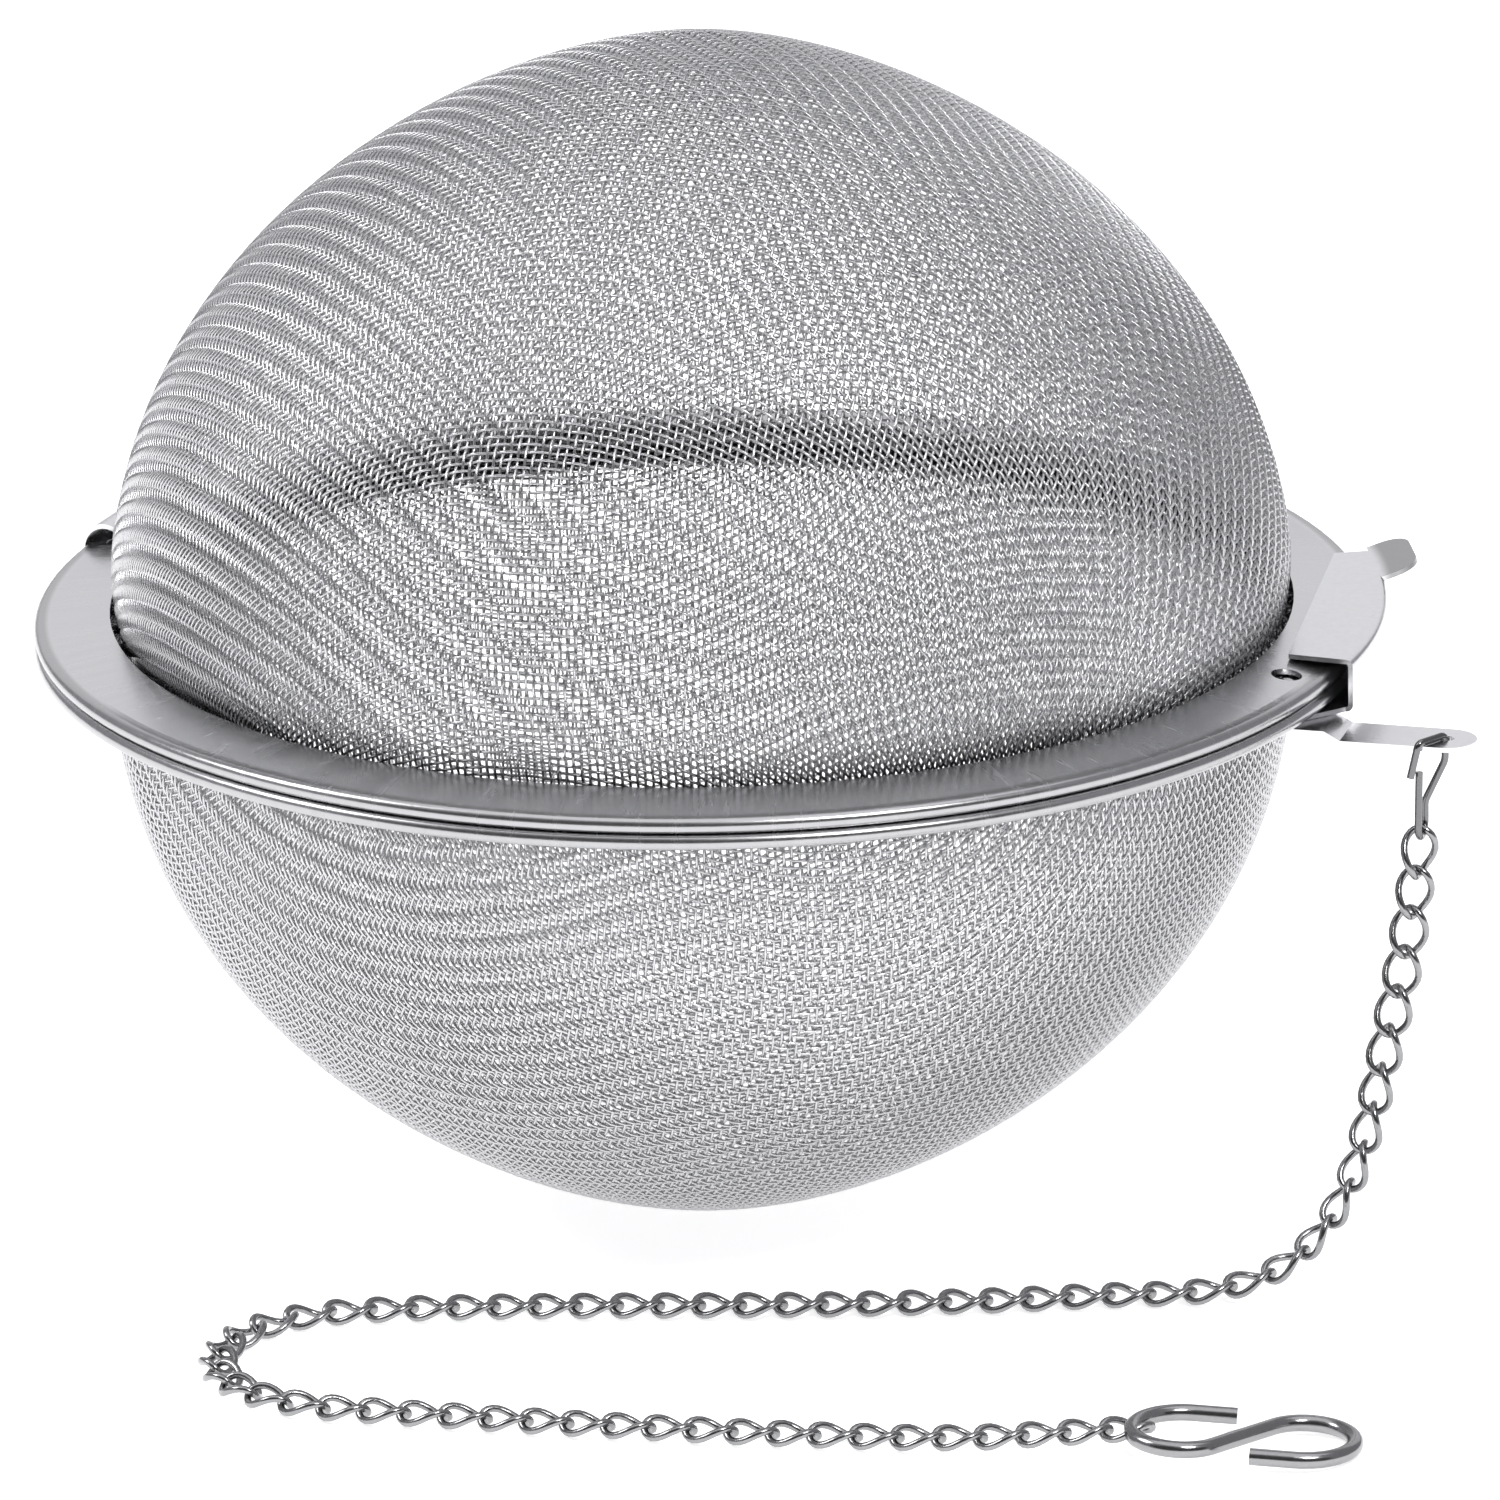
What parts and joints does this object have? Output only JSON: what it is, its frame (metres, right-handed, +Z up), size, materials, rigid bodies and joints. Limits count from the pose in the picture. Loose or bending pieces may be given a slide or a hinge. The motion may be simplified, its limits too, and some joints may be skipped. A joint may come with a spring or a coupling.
{
  "type": "tea infuser",
  "caption": "Ball tea infuser: two hinged domes of woven steel mesh in folded rims, with a swinging clip and a chain with a pot hook.",
  "frame": {"origin": "middle of the lower dome's flat end, on the surface that the infuser stands on", "axes": "+Z up through the poles of both domes, +X towards the clip's rivet and the chain lug, with the hinge at -X"},
  "size_m": [0.118, 0.1079, 0.0892],
  "materials": {
    "mesh": "bright drawn stainless wire",
    "sheet": "polished stainless sheet",
    "wire": "polished stainless wire"
  },
  "bodies": {
    "root": {"lower_mesh_dome": "mesh", "lower_rim": "sheet", "hinge_strap": "sheet", "latch_rivet": "sheet", "chain_lug": "sheet", "lug_hook": "wire", "chain_links": "wire", "pot_hook": "wire"},
    "lid": {"upper_mesh_dome": "mesh", "upper_rim": "sheet"},
    "latch": {"latch_lever": "sheet"}
  },
  "joints": [
    {"name": "lid_hinge", "type": "hinge", "parent": "root", "child": "lid", "pos_m": [-0.0494, 0, 0.04523], "axis": [0, -1, 0], "range_deg": [0, 170]},
    {"name": "latch_swivel", "type": "hinge", "parent": "root", "child": "latch", "pos_m": [0.0472, 0, 0.0446], "axis": [0, 0, -1], "range_deg": [0, 95]}
  ]
}
